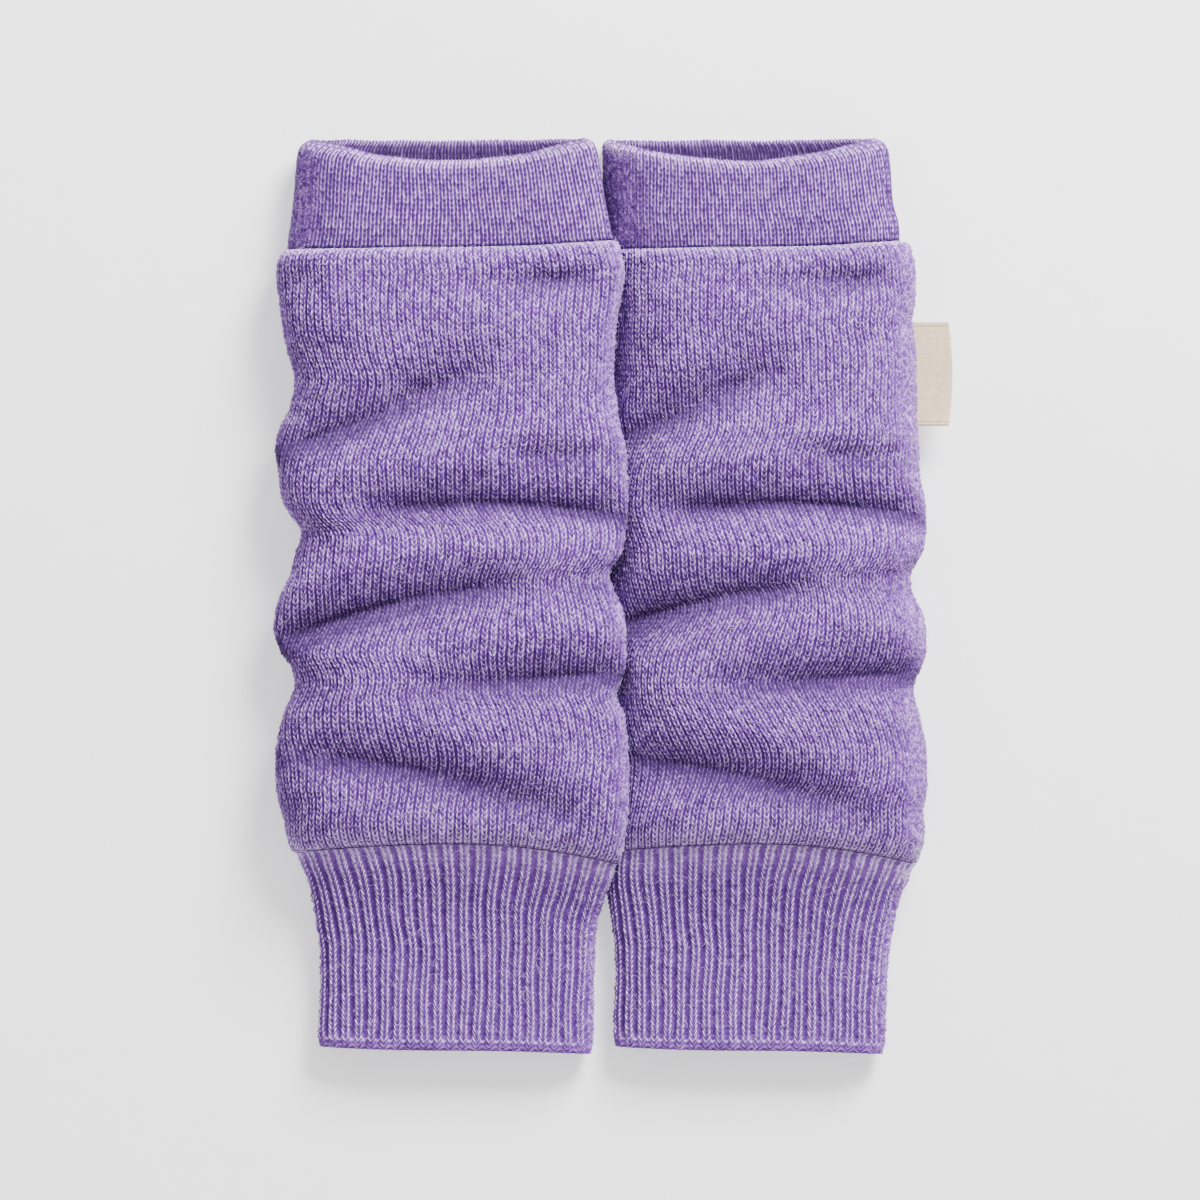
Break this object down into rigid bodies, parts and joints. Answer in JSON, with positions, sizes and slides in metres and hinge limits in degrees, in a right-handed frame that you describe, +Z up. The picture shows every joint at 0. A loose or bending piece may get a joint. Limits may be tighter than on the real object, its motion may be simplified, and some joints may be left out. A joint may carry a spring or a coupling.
{
  "type": "pair of leg warmers",
  "caption": "Pair of slouched knitted leg warmers lying side by side, with doubled top cuffs, ribbed lower cuffs and a small blank sewn tab.",
  "frame": {"origin": "centre of the pair's base on the surface it lies on", "axes": "+X across the pair, from the left leg warmer to the right one, +Y along the tubes towards the top cuffs, +Z up off the surface"},
  "size_m": [0.2574, 0.3484, 0.0349],
  "materials": {
    "leg_knit": "matte, softly brushed plain knit in heathered violet wool, with a fine halo of loose fibre",
    "cuff_knit": "matte fine plain knit in heathered violet wool, two layers folded over at the rim",
    "rib_knit": "matte ribbed knit in heathered violet wool, crests pale and valleys dark",
    "tab_tape": "matte undyed twill tape, blank"
  },
  "bodies": {
    "root": {"left_top_cuff": "cuff_knit", "left_leg": "leg_knit", "left_rib_cuff": "rib_knit", "right_top_cuff": "cuff_knit", "right_leg": "leg_knit", "right_rib_cuff": "rib_knit", "sewn_tab": "tab_tape"}
  },
  "joints": []
}
